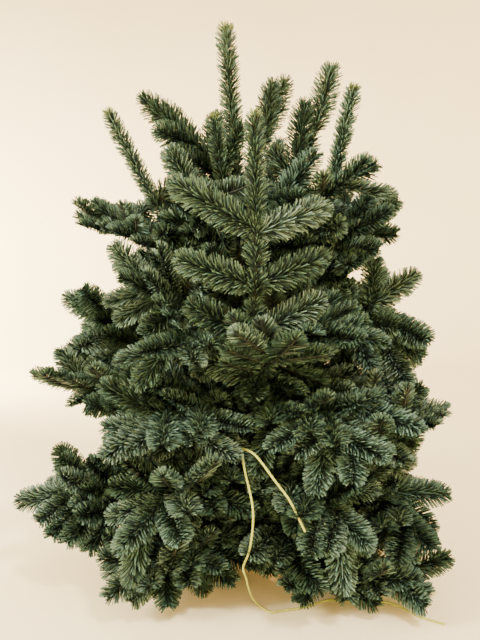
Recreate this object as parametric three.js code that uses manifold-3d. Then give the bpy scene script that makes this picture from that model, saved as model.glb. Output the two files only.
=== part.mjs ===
// A small cut noble fir, standing as a table-top Christmas tree on a plain wooden cross.
// Millimetres, +Z up. The origin is the middle of the cross's underside, under the trunk.
// Bearings are in degrees seen from above: 0 is +X, 90 is +Y, and -90 is the tree's front.
import * as THREE from "three";
import { mergeVertices } from "three/addons/utils/BufferGeometryUtils.js";
import Module from "manifold-3d";

const wasm = await Module();
wasm.setup();

// ---------------------------------------------------------------- driving dimensions

const GAP = 0.3; // air left between solids that touch

const board = { length: 216, width: 46, thickness: 22, turn: 45 }; // the two lapped boards of the cross
const collar = { outer: 33, height: 30, clearance: 0.8, bevel: 3, sides: 20 }; // turned ring round the foot
// The trunk swells towards its foot, leans to the left, and bows a little to the right on the way.
const trunk = {
  top: 684,
  footRadius: 17,
  topRadius: 4.6,
  swell: 2.5,
  swellHeight: 60,
  lean: -5,
  bow: 5,
  sides: 10,
  steps: 12,
};
const leader = { lean: -21, length: 281, half: 18 };
const limb = { rootRadius: 7.5, tipRadius: 4.6, sides: 6, step: 50 };
// A stem is a three-sided twig that runs inTip into the spray at its end. Sprays are sunk in it.
const stem = { rootRadius: 4.2, tipRadius: 2.4, step: 100, bendStep: 22, inTip: 30, sunk: 0.8 };

// Two kinds of spray: a broad one, with its needles combed out flat, and a slim upright one. tip and
// half are the length and half width of the spray that ends a bough. Its side sprays leave it at
// angle, in degrees, and the pair furthest from the tip is older times as long as the nearest.
const broad = { tip: 118, half: 22, flat: 0.62, rib: 0.3, pitch: 43, lean: 0.3, angle: 46, older: 1.25 };
const slim = { tip: 175, half: 15, flat: 1, rib: 0.4, pitch: 43, lean: 0.5, angle: 60, older: 0.66 };
const fork = { angleSpread: 14, tilt: -4, tiltSpread: 26, jitter: 10, first: 20, firstAtTrunk: 55 };
const CLEAR = 0.8; // air kept between a spray's widest needles and any other mass
const FLOOR = 5; // no needle reaches below this height
const SHORTER = [1, 0.82, 0.66]; // shares of a side spray's length that are tried before it is skipped
const SLIMMER = [1, 0.82, 0.66, 0.5]; // shares of a tip's width that are tried
const SAMPLE = 12; // spacing of the balls that stand for a line when two masses are kept apart

// One row per bough: its height on the trunk, bearing, length to the tip, rise at the trunk in
// degrees, degrees it bends up by on the way, roll of its fan about its own line, bare limb before
// its foliage (0 where foliage starts at the trunk), pairs of side sprays, length of the pair
// nearest the tip, and kind. Boughs that are further down the list give way to those above them.
const columns = ["name", "height", "bearing", "length", "rise", "bend", "roll", "bare", "pairs", "side", "kind"];
const rows = [
  // the upright spires
  ["front_spire", 205, -83, 622, 44, 62, 0, 110, 4, 152, slim],
  ["left_spire", 440, -176, 445, 51, 15, -40, 115, 2, 70, slim],
  ["right_spire", 545, 6, 397, 52, 26, 60, 90, 2, 80, broad],
  ["right_wand", 455, -17, 450, 39.5, 48, 60, 0, 3, 100, slim],
  ["middle_spire", 585, -134, 228, 66, 16, 0, 0, 0, 0, slim],
  // the crown, round the leader
  ["left_crown", 662, 177, 252, 58, -22, -50, 0, 2, 80, broad],
  ["right_crown", 664, 38, 258, 61, 6, 60, 0, 1, 85, broad],
  ["left_wing", 570, -158, 218, 50, 6, -30, 0, 2, 85, broad],
  ["right_wing", 600, -12, 200, 38, 14, 30, 0, 2, 95, broad],
  ["rear_left_crown", 560, 132, 262, 40, 22, -30, 0, 2, 100, broad],
  ["rear_right_crown", 575, 62, 290, 40, 25, 30, 0, 2, 100, broad],
  // the shoulders
  ["left_upper", 500, 172, 342, 37, -26, -12, 100, 3, 88, broad],
  ["right_upper", 520, -30, 306, 48, -18, 30, 0, 3, 105, broad],
  ["right_shoulder", 410, 12, 398, 54, -27, 45, 115, 3, 100, broad],
  ["left_shoulder", 430, -152, 248, 31, -14, -40, 0, 3, 100, broad],
  // the middle
  ["front_mid", 330, -74, 292, 24, 0, 0, 0, 2, 90, broad],
  ["left_mid", 350, 174, 362, 18, 10, -70, 120, 3, 118, broad],
  ["right_mid", 345, 0, 372, 25, 12, 88, 120, 3, 132, broad],
  ["left_long", 265, -173, 385, 11, 5, 35, 120, 3, 86, broad],
  ["right_long", 262, -8, 371, 3, 4, 18, 120, 3, 136, broad],
  ["front_left_upper", 395, -125, 260, 26, -40, -20, 0, 3, 100, broad],
  ["front_right_upper", 400, -48, 270, 26, -35, 20, 0, 3, 100, broad],
  ["front_left_mid", 300, -135, 300, 18, -50, -20, 0, 3, 110, broad],
  ["front_right_mid", 300, -42, 305, 16, -45, 20, 0, 3, 110, broad],
  // the skirt
  ["left_low", 150, -170, 400, 3, -10, -42, 130, 3, 112, broad],
  ["right_low", 125, -9, 375, 6, -6, 42, 130, 3, 148, broad],
  ["front_left_deep", 190, -126, 305, 14, -45, -10, 0, 3, 105, broad],
  ["front_right_deep", 190, -52, 310, 14, -45, 10, 0, 3, 105, broad],
  ["front_left_low", 95, -135, 296, 0, -20, -8, 80, 3, 92, broad],
  ["front_right_low", 90, -30, 352, -3, -14, 20, 100, 3, 92, broad],
  ["front_low", 130, -64, 268, -2, -20, 0, 0, 2, 95, broad],
  ["front_foot", 100, -102, 172, 2, 0, 0, 0, 1, 75, broad],
  // the back
  ["back_left_upper", 390, 124, 320, 28, 5, 0, 0, 3, 105, broad],
  ["back_right_upper", 385, 56, 320, 28, 5, 0, 0, 3, 105, broad],
  ["back_mid", 215, 85, 305, 12, -20, 0, 0, 3, 110, broad],
  ["back_left_mid", 250, 135, 330, 16, -20, 0, 0, 3, 110, broad],
  ["back_right_mid", 245, 40, 340, 14, -20, 0, 0, 3, 110, broad],
  ["back_low", 80, 92, 285, 2, 0, 0, 0, 3, 105, broad],
  ["back_left_low", 110, 138, 335, 0, -6, 0, 110, 3, 110, broad],
  ["back_right_low", 105, 42, 345, 0, -6, 0, 110, 3, 110, broad],
];
const boughs = rows.map((row) => Object.fromEntries(columns.map((column, i) => [column, row[i]])));

const rad = THREE.MathUtils.degToRad;
const vector = (x, y, z) => new THREE.Vector3(x, y, z);

// ---------------------------------------------------------------- solids

// A closed three.js geometry as a solid that can be joined and cut.
function solid(geometry) {
  const bare = geometry.clone();
  bare.deleteAttribute("normal");
  bare.deleteAttribute("uv");
  const merged = mergeVertices(bare, 1e-4);
  return new wasm.Manifold(
    new wasm.Mesh({
      numProp: 3,
      vertProperties: new Float32Array(merged.attributes.position.array),
      triVerts: new Uint32Array(merged.index.array),
    }),
  );
}

function geometryOf(made) {
  const mesh = made.getMesh();
  const geometry = new THREE.BufferGeometry();
  geometry.setAttribute("position", new THREE.BufferAttribute(new Float32Array(mesh.vertProperties), 3));
  geometry.setIndex(new THREE.BufferAttribute(new Uint32Array(mesh.triVerts), 1));
  geometry.computeVertexNormals();
  return geometry;
}

// A closed tube of rings along a line. ring(i) gives each ring's centre, its two axes and its radius.
function ringed(sides, steps, ring) {
  const tube = new THREE.CylinderGeometry(1, 1, steps, sides, steps);
  const places = tube.attributes.position;
  for (let i = 0; i < places.count; i++) {
    const [x, y, z] = [places.getX(i), places.getY(i), places.getZ(i)];
    const { centre, across, over, radius } = ring(Math.round(y + steps / 2));
    const place = centre.clone().addScaledVector(across, x * radius).addScaledVector(over, -z * radius);
    places.setXYZ(i, place.x, place.y, place.z);
  }
  return tube;
}

// ---------------------------------------------------------------- trunk

const FOOT = board.thickness + GAP;

function trunkAxis(height) {
  const share = Math.max(0, height) / trunk.top;
  return vector(trunk.lean * share + trunk.bow * Math.sin(Math.PI * share), 0, height);
}

function trunkRadius(height) {
  const taper = trunk.footRadius + (trunk.topRadius - trunk.footRadius) * (height / trunk.top);
  return taper + trunk.swell * Math.max(0, 1 - (height - FOOT) / trunk.swellHeight) ** 2;
}

function trunkSolid(grown) {
  const { sides, steps } = trunk;
  const level = { across: vector(1, 0, 0), over: vector(0, 1, 0) };
  return solid(
    ringed(sides, steps, (i) => {
      const height = FOOT + ((trunk.top - FOOT) * i) / steps;
      return { ...level, centre: trunkAxis(height), radius: trunkRadius(height) + grown };
    }),
  );
}

const trunkBody = trunkSolid(0);
const trunkRoom = trunkSolid(GAP + 0.1); // the trunk with the air round it, for cutting its neighbours

// ---------------------------------------------------------------- the line of a bough

// A bough rises in one upright plane, and its slope changes evenly from the trunk to its tip.
function pointOn(bough, way) {
  const slope = rad(bough.rise);
  const turn = rad(bough.bend) / bough.length;
  const straight = Math.abs(turn) < 1e-6;
  const out = straight ? way * Math.cos(slope) : (Math.sin(slope + turn * way) - Math.sin(slope)) / turn;
  const up = straight ? way * Math.sin(slope) : (Math.cos(slope) - Math.cos(slope + turn * way)) / turn;
  const bearing = rad(bough.bearing);
  return trunkAxis(bough.height).add(vector(out * Math.cos(bearing), out * Math.sin(bearing), up));
}

// The axes of a bough at a point: along it, across its fan, and out of the fan's upper side.
function axesOn(bough, way) {
  const slope = rad(bough.rise + (bough.bend * way) / bough.length);
  const bearing = rad(bough.bearing);
  const level = vector(Math.cos(bearing), Math.sin(bearing), 0);
  const along = level.clone().multiplyScalar(Math.cos(slope)).add(vector(0, 0, Math.sin(slope)));
  const sideways = vector(-Math.sin(bearing), Math.cos(bearing), 0);
  const across = sideways.applyAxisAngle(along, rad(bough.roll));
  return { along, across, over: along.clone().cross(across) };
}

// ---------------------------------------------------------------- where the sprays go

// A small seeded generator, so that the tree always grows the same way.
function seeded(seed) {
  let state = seed >>> 0;
  return () => {
    state = (state + 0x6d2b79f5) >>> 0;
    let t = state;
    t = Math.imul(t ^ (t >>> 15), t | 1);
    t ^= t + Math.imul(t ^ (t >>> 7), t | 61);
    return ((t ^ (t >>> 14)) >>> 0) / 4294967296;
  };
}

// The spray that ends a bough, and the pairs that fork from its stem behind it.
function spraysOf(bough, index) {
  const random = seeded(1000 + 77 * index);
  const kind = bough.kind;
  const tip = Math.min(kind.tip, 0.6 * (bough.length - bough.bare));
  const base = pointOn(bough, bough.length - tip);
  const ending = axesOn(bough, bough.length - tip / 2);
  const sprays = [{ base, ...ending, length: tip, half: kind.half, kind }];
  const last = bough.length - tip;
  const first = bough.bare ? bough.bare + fork.first : fork.firstAtTrunk;
  for (let pair = 0; pair < bough.pairs; pair++) {
    const place = last - ((last - first) * pair) / bough.pairs;
    const grown = 1 + ((kind.older - 1) * pair) / Math.max(1, bough.pairs - 1);
    for (const hand of [1, -1]) {
      const angle = rad(kind.angle + fork.angleSpread * random());
      const tilt = rad(fork.tilt + fork.tiltSpread * random());
      const way = place - fork.jitter * random();
      const length = bough.side * grown * (0.92 + 0.16 * random());
      const { along, across, over } = axesOn(bough, way);
      const out = across.clone().multiplyScalar(hand * Math.cos(tilt)).addScaledVector(over, Math.sin(tilt));
      const heading = along.clone().multiplyScalar(Math.cos(angle)).addScaledVector(out, Math.sin(angle));
      const sideways = over.clone().cross(heading).normalize();
      sprays.push({
        base: pointOn(bough, way),
        along: heading,
        across: sideways,
        over: heading.clone().cross(sideways),
        length,
        half: broad.half,
        kind: broad,
      });
    }
  }
  return sprays;
}

// How wide a spray is at a share of its length: it widens from its foot and has a rounded tip.
function breadth(share) {
  const swelling = 0.55 + 0.45 * Math.min(1, share / 0.3);
  return swelling * Math.sqrt(Math.max(0, 1 - (0.92 * share) ** 6));
}

// ---------------------------------------------------------------- each mass's own space

// Every limb, stem and spray is also a row of balls, each with the bough it belongs to. A spray is
// grown only where its own balls are clear of all the others'.
const balls = [];

function lineBalls(owner, from, to, pointAt, radiusAt) {
  const count = Math.max(1, Math.ceil((to - from) / SAMPLE));
  return Array.from({ length: count + 1 }, (_, i) => {
    const way = from + ((to - from) * i) / count;
    return { owner, at: pointAt(way), radius: radiusAt(way) };
  });
}

function sprayBalls(owner, spray) {
  const pointAt = (way) => spray.base.clone().addScaledVector(spray.along, way);
  const corner = Math.hypot(0.87, spray.kind.flat / 2); // how far a three-sided section reaches
  const radiusAt = (way) => corner * spray.half * breadth(way / spray.length) + CLEAR;
  return lineBalls(owner, 0.12 * spray.length, spray.length, pointAt, radiusAt);
}

const isFree = (candidate) =>
  candidate.every(
    ({ owner, at, radius }) =>
      at.z - radius > FLOOR &&
      balls.every((ball) => ball.owner === owner || at.distanceTo(ball.at) > radius + ball.radius),
  );

// The first of some shares of a spray's width and length that fits, already taken up in balls.
function fitted(owner, spray, sizes) {
  for (const [wide, long] of sizes) {
    const tried = { ...spray, half: spray.half * wide, length: spray.length * long };
    const candidate = sprayBalls(owner, tried);
    if (isFree(candidate)) {
      balls.push(...candidate);
      return tried;
    }
  }
  return null;
}

const alongLeader = (way) => leaderPoint(way / leader.length);
balls.push(...lineBalls("trunk", FOOT, trunk.top, trunkAxis, trunkRadius));
balls.push(...lineBalls("leader", 0, leader.length, alongLeader, () => leader.half));
boughs.forEach((bough, index) => {
  const alongBough = (way) => pointOn(bough, way);
  const clearOfTrunk = bough.bare || 2 * trunkRadius(bough.height);
  balls.push(...lineBalls(index, 0, bough.bare, alongBough, () => limb.rootRadius));
  balls.push(...lineBalls(index, clearOfTrunk, bough.length, alongBough, () => stem.rootRadius));
});

const tips = boughs.map((bough, index) => {
  const spray = spraysOf(bough, index)[0];
  const sizes = SLIMMER.map((wide) => [wide, 1]);
  return fitted(index, spray, sizes) ?? { ...spray, half: spray.half * SLIMMER.at(-1) };
});
const sides = boughs.map((bough, index) =>
  spraysOf(bough, index)
    .slice(1)
    .map((spray) => fitted(index, spray, SHORTER.map((long) => [0.5 + 0.5 * long, long])))
    .filter(Boolean),
);

// ---------------------------------------------------------------- sprays, stems and limbs

// A toothed spray: a three-sided rib whose rings alternate between the rib and the tips of its
// needles, which lean forward past the next foot of the rib.
function spraySolid({ base, along, across, over, length, half, kind }) {
  const barbs = Math.max(3, Math.round(length / kind.pitch));
  const pitch = length / (barbs + kind.lean);
  const steps = 2 * barbs;
  return solid(
    ringed(3, steps, (i) => {
      const onBarb = i % 2 === 1;
      const step = (i + (onBarb ? 1 : 0)) / 2;
      const way = Math.min(length, pitch * (step + (onBarb ? kind.lean : 0)));
      const wide = (onBarb ? half : half * kind.rib) * breadth(way / length);
      const radius = i === 0 ? 2 : i === steps ? 0.8 : wide;
      return {
        centre: base.clone().addScaledVector(along, i === 0 ? -stem.sunk : i === steps ? length : way),
        across,
        over: over.clone().multiplyScalar(kind.flat),
        radius,
      };
    }),
  );
}

function tapered(bough, from, to, rootRadius, tipRadius, sides, steps) {
  return solid(
    ringed(sides, steps, (i) => {
      const share = i / steps;
      const way = from + (to - from) * share;
      const { across, over } = axesOn(bough, way);
      const radius = rootRadius + (tipRadius - rootRadius) * share;
      return { centre: pointOn(bough, way), across, over, radius };
    }),
  );
}

function limbSolid(bough) {
  const steps = Math.max(2, Math.round(bough.bare / limb.step));
  const whole = tapered(bough, 0, bough.bare, limb.rootRadius, limb.tipRadius, limb.sides, steps);
  return whole.subtract(trunkRoom);
}

function massSolid(bough, index) {
  const sprays = [tips[index], ...sides[index]];
  const from = bough.bare ? bough.bare + GAP : 0;
  const to = bough.length - tips[index].length + stem.inTip;
  const steps = Math.ceil(Math.max(2, (to - from) / stem.step, Math.abs(bough.bend) / stem.bendStep));
  const twig = tapered(bough, from, to, stem.rootRadius, stem.tipRadius, 3, steps);
  const whole = wasm.Manifold.union([twig, ...sprays.map(spraySolid)]);
  return bough.bare ? whole : whole.subtract(trunkRoom);
}

// ---------------------------------------------------------------- leader

function leaderPoint(share) {
  const top = trunkAxis(trunk.top);
  return top.add(vector(leader.lean * share, 0, GAP + stem.sunk + leader.length * share));
}

function leaderSolid() {
  const base = leaderPoint(0);
  const along = leaderPoint(1).sub(base).normalize();
  const across = vector(0, 1, 0);
  const over = along.clone().cross(across);
  const length = leaderPoint(1).distanceTo(base);
  return spraySolid({ base, along, across, over, length, half: leader.half, kind: slim });
}

// ---------------------------------------------------------------- stand

// A board of the cross, seen from its long edge, with half its thickness cut away in the middle.
function boardSolid(notchOnTop) {
  const half = board.length / 2;
  const slot = board.width / 2 + GAP;
  const middle = board.thickness / 2 + (notchOnTop ? -GAP / 2 : GAP / 2);
  const [low, high] = notchOnTop ? [0, board.thickness] : [board.thickness, 0];
  const side = new THREE.Shape();
  side.moveTo(-half, low);
  side.lineTo(half, low);
  side.lineTo(half, high);
  side.lineTo(slot, high);
  side.lineTo(slot, middle);
  side.lineTo(-slot, middle);
  side.lineTo(-slot, high);
  side.lineTo(-half, high);
  const plank = new THREE.ExtrudeGeometry(side, { depth: board.width, bevelEnabled: false });
  plank.translate(0, 0, -board.width / 2);
  plank.rotateX(Math.PI / 2);
  plank.rotateZ(rad(notchOnTop ? board.turn : -board.turn));
  return plank;
}

function collarGeometry() {
  const inner = trunkRadius(FOOT) + collar.clearance;
  const top = FOOT + collar.height;
  const profile = [
    [inner, FOOT],
    [collar.outer, FOOT],
    [collar.outer, top - collar.bevel],
    [collar.outer - collar.bevel, top],
    [inner, top],
    [inner, FOOT],
  ];
  const ring = new THREE.LatheGeometry(profile.map(([r, z]) => new THREE.Vector2(r, z)), collar.sides);
  ring.rotateX(Math.PI / 2);
  return ring;
}

// ---------------------------------------------------------------- the tree

const bark = new THREE.MeshStandardMaterial({ color: 0x5d4a38, roughness: 0.9, metalness: 0 });
const needles = new THREE.MeshStandardMaterial({ color: 0x46553a, roughness: 0.6, metalness: 0 });
const pine = new THREE.MeshStandardMaterial({ color: 0xc39a66, roughness: 0.7, metalness: 0 });

const tree = new THREE.Group();

function add(name, geometry, material) {
  const mesh = new THREE.Mesh(geometry, material);
  mesh.name = name;
  tree.add(mesh);
}

add("stand_board_lower", boardSolid(true), pine);
add("stand_board_upper", boardSolid(false), pine);
add("stand_collar", collarGeometry(), pine);
add("trunk", geometryOf(trunkBody), bark);
add("leader_foliage", geometryOf(leaderSolid()), needles);
boughs.forEach((bough, index) => {
  if (bough.bare) add(`${bough.name}_bough`, geometryOf(limbSolid(bough)), bark);
  add(`${bough.name}_foliage`, geometryOf(massSolid(bough, index)), needles);
});

export default tree;
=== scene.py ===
"""A small cut noble fir, standing as a table-top Christmas tree on a plain wooden cross.

The tree is worked out in millimetres, by the same rule as its solids, and carried on from there to
single needles. Lengths turn to metres as each mesh is made. Bearings are degrees seen from above.
"""
import math
import bpy
import numpy as np
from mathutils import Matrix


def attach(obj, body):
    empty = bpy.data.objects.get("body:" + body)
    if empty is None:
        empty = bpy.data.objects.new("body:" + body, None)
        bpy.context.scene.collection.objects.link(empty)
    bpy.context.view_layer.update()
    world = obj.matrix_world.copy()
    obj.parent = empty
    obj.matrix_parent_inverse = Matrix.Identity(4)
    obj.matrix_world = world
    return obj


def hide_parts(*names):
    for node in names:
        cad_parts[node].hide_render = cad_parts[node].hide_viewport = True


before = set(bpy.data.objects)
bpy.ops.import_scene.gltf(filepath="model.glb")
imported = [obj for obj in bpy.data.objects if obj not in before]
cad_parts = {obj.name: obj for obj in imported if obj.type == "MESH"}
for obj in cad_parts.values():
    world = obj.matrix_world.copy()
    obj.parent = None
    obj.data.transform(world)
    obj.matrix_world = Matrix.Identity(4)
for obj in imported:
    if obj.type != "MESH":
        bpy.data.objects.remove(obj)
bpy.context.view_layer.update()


# ---------------------------------------------------------------- camera
# A phone held a little under a metre in front of the tree and half-way up it, tipped slightly down.

FRAME_HEIGHT = 640  # pixels on the long side of the frame
FOCAL = 518  # pixels
FILM = 36  # mm on the long side
PITCH = 6  # degrees below level
NEAREST = 0.02  # m in front of the lens

camera = bpy.data.objects.new("camera", bpy.data.cameras.new("camera"))
bpy.context.collection.objects.link(camera)
camera.location = (0, -0.943, 0.55)
camera.rotation_euler = (math.radians(90 - PITCH), 0, 0)
camera.data.sensor_width = FILM
camera.data.lens = FILM * FOCAL / FRAME_HEIGHT
camera.data.clip_start = NEAREST
bpy.context.scene.camera = camera


# ---------------------------------------------------------------- trunk
# The stem of the fir, sawn off flat at the foot and tapering to the whorl under the leader. Its thin
# grey-brown bark is smooth, with raised resin blisters and a swelling at each whorl of boughs.

TRUNK = {"foot": 22.3, "top": 684, "foot_radius": 17, "top_radius": 4.6, "lean": -5, "bow": 5}
SWELL = {"radius": 2.5, "height": 60}
WHORLS = (95, 160, 205, 262, 345, 400, 505, 575, 662)
WHORL_SWELLING = {"out": 0.9, "reach": 9}
MM = 0.001


def trunk_axis(height):
    share = max(0, height) / TRUNK["top"]
    return np.array([TRUNK["lean"] * share + TRUNK["bow"] * math.sin(math.pi * share), 0, height])


def trunk_radius(height):
    taper = TRUNK["foot_radius"] + (TRUNK["top_radius"] - TRUNK["foot_radius"]) * height / TRUNK["top"]
    return taper + SWELL["radius"] * max(0, 1 - (height - TRUNK["foot"]) / SWELL["height"]) ** 2


def unit(v):
    return v / np.linalg.norm(v, axis=-1, keepdims=True)


def new_piece(name, points, faces, materials, shares=None, smooth=False):
    """A mesh of points in millimetres that rides on the tree. shares gives each face's material."""
    mesh = bpy.data.meshes.new(name)
    faces = np.asarray(faces)
    corners = faces.shape[1]
    mesh.vertices.add(len(points))
    mesh.vertices.foreach_set("co", (np.asarray(points) * MM).astype(np.float32).ravel())
    mesh.loops.add(faces.size)
    mesh.loops.foreach_set("vertex_index", faces.astype(np.int32).ravel())
    mesh.polygons.add(len(faces))
    mesh.polygons.foreach_set("loop_start", np.arange(0, faces.size, corners, dtype=np.int32))
    for material in materials:
        mesh.materials.append(material)
    if shares is not None:
        mesh.polygons.foreach_set("material_index", np.asarray(shares, dtype=np.int32))
    mesh.update(calc_edges=True)
    mesh.polygons.foreach_set("use_smooth", np.full(len(faces), smooth))
    piece = bpy.data.objects.new(name, mesh)
    bpy.context.collection.objects.link(piece)
    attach(piece, "root")
    return piece


def tube(rings, acrosses, overs, radii, sides):
    """Rings of points round a line, joined by quads. radii holds one for each ring or point."""
    turn = np.arange(sides) * 2 * math.pi / sides
    radii = np.broadcast_to(np.asarray(radii, float).reshape(len(rings), -1), (len(rings), sides))
    across_share, over_share = np.cos(turn)[None, :, None], np.sin(turn)[None, :, None]
    round_ring = acrosses[:, None] * across_share + overs[:, None] * over_share
    points = rings[:, None] + round_ring * radii[:, :, None]
    k, j = np.meshgrid(np.arange(len(rings) - 1), np.arange(sides), indexing="ij")
    after = (j + 1) % sides
    quads = np.stack([k * sides + j, k * sides + after, (k + 1) * sides + after, (k + 1) * sides + j], -1)
    return points.reshape(-1, 3), quads.reshape(-1, 4)


def level_axes(count):
    """The two level axes of a row of rings that lie flat, once for each ring."""
    return np.tile([1.0, 0, 0], (count, 1)), np.tile([0, 1.0, 0], (count, 1))


def hex_colour(code):
    """An sRGB hex colour as linear red, green, blue and alpha."""
    shares = [int(code[i : i + 2], 16) / 255 for i in (1, 3, 5)]
    return [s / 12.92 if s <= 0.04045 else ((s + 0.055) / 1.055) ** 2.4 for s in shares] + [1]


def add_node(material, kind, settings=None, inputs=None):
    """A node with its settings, and its inputs given as values or linked from other nodes' outputs."""
    node = material.node_tree.nodes.new(kind)
    for name, value in (settings or {}).items():
        setattr(node, name, value)
    for name, value in (inputs or {}).items():
        if isinstance(value, bpy.types.NodeSocket):
            material.node_tree.links.new(value, node.inputs[name])
        else:
            node.inputs[name].default_value = value
    return node


def new_material(name):
    material = bpy.data.materials.new(name)
    material.use_nodes = True
    material.node_tree.nodes.clear()
    return material


def colour_steps(material, by, steps):
    """A ramp through sRGB hex colours, given as pairs of place and colour."""
    ramp = add_node(material, "ShaderNodeValToRGB", inputs={"Fac": by})
    while len(ramp.color_ramp.elements) < len(steps):
        ramp.color_ramp.elements.new(0.5)
    for element, (place, code) in zip(ramp.color_ramp.elements, steps):
        element.position = place
        element.color = hex_colour(code)
    return ramp.outputs["Color"]


def finish_material(material, inputs):
    shader = add_node(material, "ShaderNodeBsdfPrincipled", inputs=inputs)
    add_node(material, "ShaderNodeOutputMaterial", inputs={"Surface": shader.outputs["BSDF"]})
    return material


def fir_bark():
    """Young noble fir bark: thin, matt and grey-brown, mottled by lichen and by resin blisters."""
    bark = new_material("fir_bark")
    place = add_node(bark, "ShaderNodeTexCoord").outputs["Object"]
    blister_spacing, mottle_size = 4 * MM, 14 * MM
    mottle = add_node(
        bark,
        "ShaderNodeTexNoise",
        inputs={"Vector": place, "Scale": 1 / mottle_size, "Detail": 6.0},
    )
    blisters = add_node(
        bark,
        "ShaderNodeTexVoronoi",
        inputs={"Vector": place, "Scale": 1 / blister_spacing},
    )
    steps = [(0.3, "#4a3829"), (0.55, "#6d5a48"), (0.75, "#8a7d6c")]
    colour = colour_steps(bark, mottle.outputs["Fac"], steps)
    relief = add_node(
        bark,
        "ShaderNodeBump",
        inputs={"Strength": 0.5, "Distance": 0.6 * MM, "Height": blisters.outputs["Distance"]},
    )
    return finish_material(
        bark, {"Base Color": colour, "Roughness": 0.85, "Normal": relief.outputs["Normal"]}
    )


def sawn_end():
    """The pale sawn face under the trunk, with its year rings."""
    wood = new_material("sawn_fir_end")
    place = add_node(wood, "ShaderNodeTexCoord").outputs["Object"]
    ring_spacing = 2.2 * MM
    rings = add_node(
        wood,
        "ShaderNodeTexWave",
        {"wave_type": "RINGS", "rings_direction": "Z"},
        {"Vector": place, "Scale": 1 / ring_spacing / 2 / math.pi, "Distortion": 2.0},
    )
    colour = colour_steps(wood, rings.outputs["Fac"], [(0.2, "#c9a477"), (0.9, "#e2c9a0")])
    return finish_material(wood, {"Base Color": colour, "Roughness": 0.8})


BARK, SAWN_END = fir_bark(), sawn_end()
BARK_STEP = 2.0  # spacing of the rings of points that carry the bark's relief
BARK_SIDES = 32
BARK_DEPTH = 0.6  # taken off the trunk before the relief is laid on
TIP_RISE = 0.2  # of the middle of the trunk's top


def bark_relief(turn, way, seed):
    """How far the bark stands out, in millimetres: long ridges, and small blisters on them."""
    ridges = np.sin(3 * turn + 0.05 * way + seed) * 0.35 + np.sin(7 * turn - 0.11 * way + 2 * seed) * 0.2
    blisters = np.sin(11 * turn + 0.9 * way) * np.sin(5 * turn - 0.63 * way + seed) * 0.28
    return ridges + blisters


heights = np.linspace(TRUNK["foot"], TRUNK["top"], int((TRUNK["top"] - TRUNK["foot"]) / BARK_STEP))
turns = np.arange(BARK_SIDES) * 2 * math.pi / BARK_SIDES
swelling = sum(
    WHORL_SWELLING["out"] * np.exp(-(((heights - whorl) / WHORL_SWELLING["reach"]) ** 2))
    for whorl in WHORLS
)
under_bark = (np.array([trunk_radius(h) for h in heights]) + swelling - BARK_DEPTH)[:, None]
relief = bark_relief(turns[None, :], heights[:, None], 1.0) * (under_bark / TRUNK["foot_radius"])
axis = np.array([trunk_axis(h) for h in heights])
points, quads = tube(axis, *level_axes(len(heights)), under_bark + relief, BARK_SIDES)
trunk_piece = new_piece("trunk_bark", points, quads, [BARK], smooth=True)
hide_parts("trunk")

foot_points = np.vstack([axis[0], points[:BARK_SIDES]])
foot_faces = [(0, 1 + (j + 1) % BARK_SIDES, 1 + j) for j in range(BARK_SIDES)]
top_points = np.vstack([axis[-1] + [0, 0, TIP_RISE], points[-BARK_SIDES:]])
top_faces = [(0, 1 + j, 1 + (j + 1) % BARK_SIDES) for j in range(BARK_SIDES)]
foot_piece = new_piece("trunk_sawn_foot", foot_points, foot_faces, [SAWN_END])
top_piece = new_piece("trunk_tip", top_points, top_faces, [BARK])


# ---------------------------------------------------------------- boughs
# The bare limbs of the whorls, each tapering and bending up in one upright plane until its foliage
# starts. Young branch bark is browner and smoother than the trunk's.

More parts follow.
